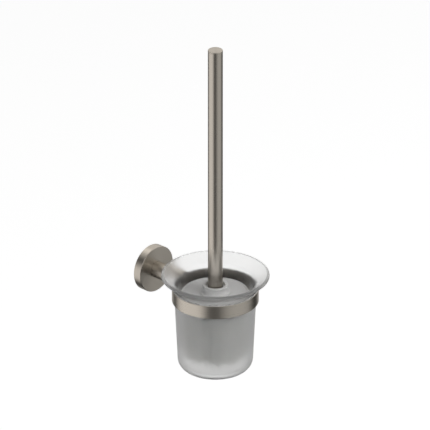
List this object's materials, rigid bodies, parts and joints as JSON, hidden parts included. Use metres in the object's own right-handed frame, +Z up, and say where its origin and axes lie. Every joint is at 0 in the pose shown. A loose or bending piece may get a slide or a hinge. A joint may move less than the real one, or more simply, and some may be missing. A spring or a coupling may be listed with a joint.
{
  "type": "toilet brush holder",
  "caption": "Wall-mounted toilet brush holder: round flange and arm with a brushed metal ring, a frosted glass cup with a flared lip, and a brush with a long tubular handle.",
  "frame": {"origin": "centre of the wall bracket's back face, in the wall plane, at the height of the arm", "axes": "+Z up along the handle, +Y into the wall, so the holder stands out along -Y; +X to the right, seen from the room"},
  "size_m": [0.1156, 0.1533, 0.3735],
  "materials": {
    "brushed_nickel": "warm satin nickel with a fine brushed grain",
    "zinc_steel": "bright zinc plate",
    "brass": "turned brass",
    "frosted_glass": "acid-frosted outside, smooth inside",
    "clear_plastic": "clear, soft",
    "white_plastic": "satin moulded",
    "nylon_bristle": "nylon filament",
    "black_rubber": "matt rubber"
  },
  "bodies": {
    "wall_mount": {"wall_bracket": "zinc_steel", "flange": "brushed_nickel", "flange_grub_screw": "zinc_steel", "arm_screw": "zinc_steel", "arm_dowel": "zinc_steel", "arm": "brushed_nickel", "ring": "brushed_nickel", "ring_gasket": "clear_plastic"},
    "cup": {"glass_cup": "frosted_glass"},
    "brush_head": {"splash_disc": "white_plastic", "hub_collar": "white_plastic", "brush_core": "white_plastic", "hub_insert": "brass", "bristle_row_1": "nylon_bristle", "bristle_row_2": "nylon_bristle", "bristle_row_3": "nylon_bristle", "bristle_row_4": "nylon_bristle", "bristle_row_5": "nylon_bristle", "bristle_row_6": "nylon_bristle", "bristle_row_7": "nylon_bristle", "bristle_row_8": "nylon_bristle", "bristle_row_9": "nylon_bristle"},
    "handle_seal": {"seal_washer": "black_rubber"},
    "handle": {"handle_tube": "brushed_nickel", "handle_cap": "brushed_nickel", "handle_insert": "zinc_steel", "handle_stud": "zinc_steel"}
  },
  "joints": [
    {"name": "glass_lift", "type": "slide", "parent": "wall_mount", "child": "cup", "axis": [0, 0, 1], "range_m": [0, 0.1]},
    {"name": "brush_lift", "type": "slide", "parent": "cup", "child": "brush_head", "axis": [0, 0, 1], "range_m": [0, 0.11]},
    {"name": "handle_travel", "type": "slide", "parent": "brush_head", "child": "handle_seal", "axis": [0, 0, 1], "range_m": [0, 0.0076]},
    {"name": "handle_unscrew", "type": "hinge", "parent": "handle_seal", "child": "handle", "pos_m": [0, -0.0955, 0.0096], "axis": [0, 0, 1], "range_deg": [0, 2160]}
  ],
  "couplings": [
    {"joint": "handle_travel", "follows": "handle_unscrew", "m_per_rad": 0.00019894}
  ]
}
